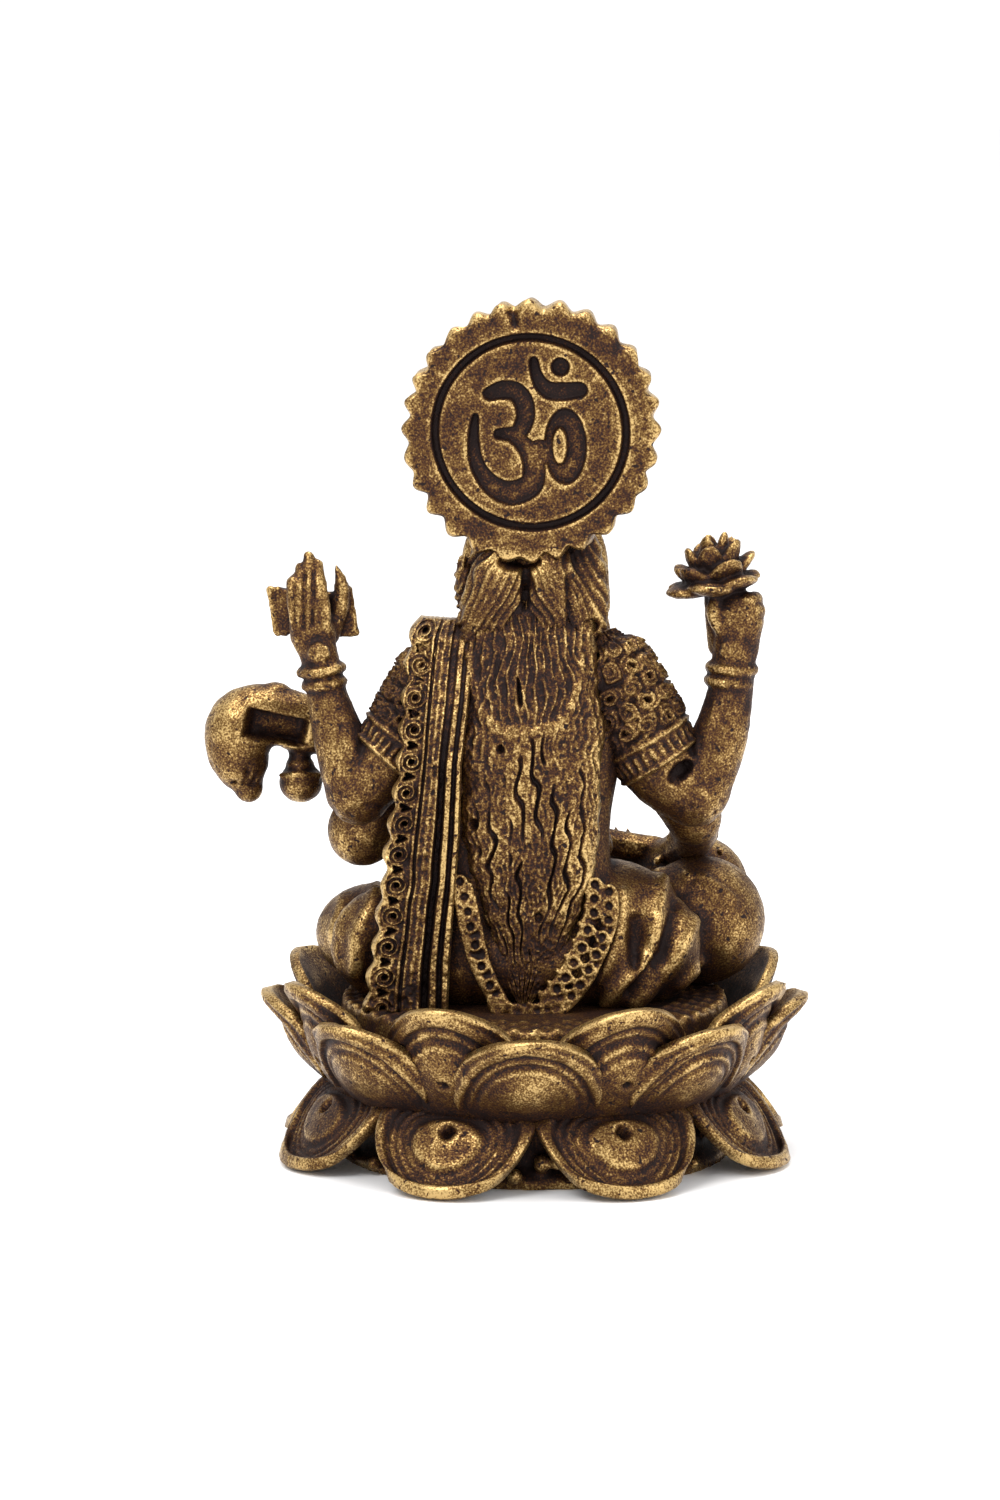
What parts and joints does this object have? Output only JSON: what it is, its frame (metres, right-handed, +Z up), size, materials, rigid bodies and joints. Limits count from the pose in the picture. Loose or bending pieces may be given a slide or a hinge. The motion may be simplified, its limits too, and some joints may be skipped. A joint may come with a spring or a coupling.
{
  "type": "saraswati statue",
  "caption": "Cast figurine of a seated goddess with raised arms and a lute, on a double lotus throne with a round scalloped halo.",
  "frame": {"origin": "centre of the flat underside of the lotus throne", "axes": "+Z up along the figure, -Y the way the figure faces, +X to the figure's left"},
  "size_m": [0.0608, 0.0533, 0.087],
  "materials": {
    "antique_bronze": "antique gold rubbed over a dark brown patina"
  },
  "bodies": {
    "root": {"saraswati_statue": "antique_bronze"}
  },
  "joints": []
}
